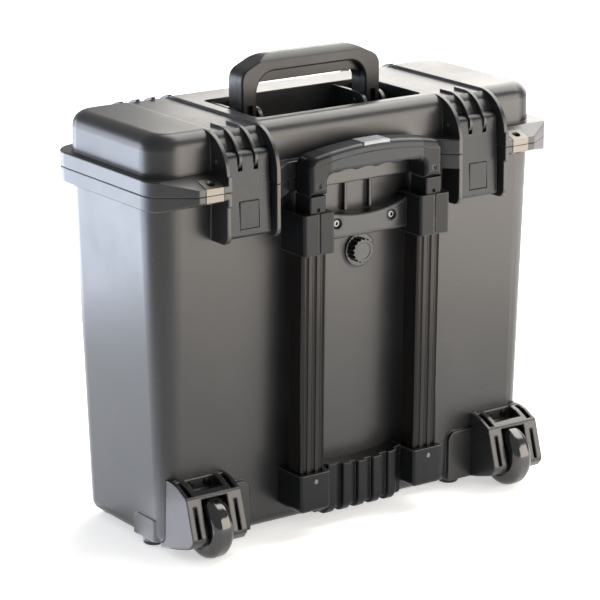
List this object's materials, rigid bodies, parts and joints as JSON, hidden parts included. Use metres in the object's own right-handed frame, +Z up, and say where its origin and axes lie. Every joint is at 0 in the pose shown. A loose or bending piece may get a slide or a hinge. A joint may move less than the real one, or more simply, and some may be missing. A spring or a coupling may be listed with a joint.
{
  "type": "laptop hard case",
  "caption": "Tall wheeled hard case with a hinged lid, press-button latches, a fold-down carry handle, a foam-lined bay and a telescoping trolley handle.",
  "frame": {"origin": "middle of the case's outline, on the floor", "axes": "+X along the case, -Y towards the wall with the latches and the trolley handle, +Z up"},
  "size_m": [0.469, 0.2369, 0.457],
  "materials": {
    "tub_resin": "moulded polypropylene, satin with a fine grain",
    "lid_resin": "moulded polypropylene, satin with a fine grain",
    "latch_resin": "moulded polypropylene, satin",
    "handle_resin": "moulded nylon, satin",
    "trolley_resin": "moulded nylon, satin",
    "grip_resin": "moulded nylon, satin, worn paler",
    "rail_black": "extruded, black anodised, glossy",
    "tube_silver": "drawn tube, satin anodised",
    "stainless": "folded stainless sheet, brushed",
    "steel_pin": "ground steel",
    "screw_steel": "zinc-plated steel",
    "screw_black": "black oxide on steel",
    "spring_steel": "spring steel strip",
    "tyre_black": "polyurethane, glossy",
    "hub_resin": "moulded nylon, satin",
    "seal_rubber": "silicone and EPDM rubber",
    "foam": "closed-cell foam with a fine skin"
  },
  "bodies": {
    "tub": {"tub_shell": "tub_resin", "tub_liner": "foam", "tub_hasp_plate_left": "stainless", "tub_hasp_plate_right": "stainless", "wheel_housing_left": "tub_resin", "wheel_housing_right": "tub_resin", "wheel_axle_left": "steel_pin", "wheel_axle_right": "steel_pin", "housing_screws": "screw_black", "trolley_rail_left": "rail_black", "trolley_rail_right": "rail_black", "trolley_collar_left": "trolley_resin", "trolley_collar_right": "trolley_resin", "rail_bracket_left": "trolley_resin", "rail_bracket_right": "trolley_resin", "bracket_rivets": "screw_steel", "cross_plate": "trolley_resin", "cross_plate_screws": "screw_steel", "kick_plate": "trolley_resin", "valve_body": "latch_resin", "valve_cap": "latch_resin", "valve_seal": "seal_rubber", "valve_nut": "latch_resin"},
    "lid": {"lid_shell": "lid_resin", "lid_gasket": "seal_rubber", "lid_pad": "foam", "lid_hasp_plate_left": "stainless", "lid_hasp_plate_right": "stainless", "hinge_pins": "steel_pin", "latch_pins": "steel_pin", "handle_pins": "steel_pin"},
    "carry_handle": {"handle_core": "handle_resin", "handle_cover": "handle_resin"},
    "latch_left": {"latch_plate_left": "latch_resin", "latch_strap_left": "spring_steel"},
    "latch_right": {"latch_plate_right": "latch_resin", "latch_strap_right": "spring_steel"},
    "latch_left_press": {"latch_button_left": "latch_resin", "latch_spring_left": "spring_steel"},
    "latch_right_press": {"latch_button_right": "latch_resin", "latch_spring_right": "spring_steel"},
    "trolley_middle": {"mid_tube_left": "tube_silver", "mid_tube_right": "tube_silver", "mid_neck_left": "trolley_resin", "mid_neck_right": "trolley_resin"},
    "trolley_inner": {"inner_tube_left": "tube_silver", "inner_tube_right": "tube_silver", "grip_cap_left": "trolley_resin", "grip_cap_right": "trolley_resin", "grip_body": "grip_resin", "grip_screws": "screw_black"},
    "trolley_release": {"release_button": "grip_resin", "release_slider": "trolley_resin"},
    "wheel_left": {"wheel_tyre_left": "tyre_black", "wheel_hub_left": "hub_resin", "wheel_bearings_left": "steel_pin"},
    "wheel_right": {"wheel_tyre_right": "tyre_black", "wheel_hub_right": "hub_resin", "wheel_bearings_right": "steel_pin"}
  },
  "joints": [
    {"name": "lid_hinge", "type": "hinge", "parent": "tub", "child": "lid", "pos_m": [0, 0.11225, 0.3573], "axis": [-1, 0, 0], "range_deg": [0, 105]},
    {"name": "handle_fold", "type": "hinge", "parent": "lid", "child": "carry_handle", "pos_m": [0, 0.01125, 0.3973], "axis": [1, 0, 0], "range_deg": [0, 90]},
    {"name": "latch_left_swing", "type": "hinge", "parent": "lid", "child": "latch_left", "pos_m": [-0.1346, -0.08265, 0.383], "axis": [-1, 0, 0], "range_deg": [0, 75]},
    {"name": "latch_right_swing", "type": "hinge", "parent": "lid", "child": "latch_right", "pos_m": [0.1346, -0.08265, 0.383], "axis": [-1, 0, 0], "range_deg": [0, 75]},
    {"name": "latch_left_button", "type": "slide", "parent": "latch_left", "child": "latch_left_press", "axis": [0, 1, 0], "range_m": [0, 0.0022], "stiffness_N_per_m": 900},
    {"name": "latch_right_button", "type": "slide", "parent": "latch_right", "child": "latch_right_press", "axis": [0, 1, 0], "range_m": [0, 0.0022], "stiffness_N_per_m": 900},
    {"name": "trolley_lower", "type": "slide", "parent": "tub", "child": "trolley_middle", "axis": [0, -0.0218, 0.9998], "range_m": [0, 0.21]},
    {"name": "trolley_upper", "type": "slide", "parent": "trolley_middle", "child": "trolley_inner", "axis": [0, -0.0218, 0.9998], "range_m": [0, 0.24]},
    {"name": "trolley_button", "type": "slide", "parent": "trolley_inner", "child": "trolley_release", "axis": [0, 0.0218, -0.9998], "range_m": [0, 0.004], "stiffness_N_per_m": 1500, "springref_m": -0.001},
    {"name": "wheel_left_spin", "type": "hinge", "parent": "tub", "child": "wheel_left", "pos_m": [-0.1805, -0.08675, 0.0317], "axis": [1, 0, 0], "continuous": true},
    {"name": "wheel_right_spin", "type": "hinge", "parent": "tub", "child": "wheel_right", "pos_m": [0.1805, -0.08675, 0.0317], "axis": [1, 0, 0], "continuous": true}
  ]
}
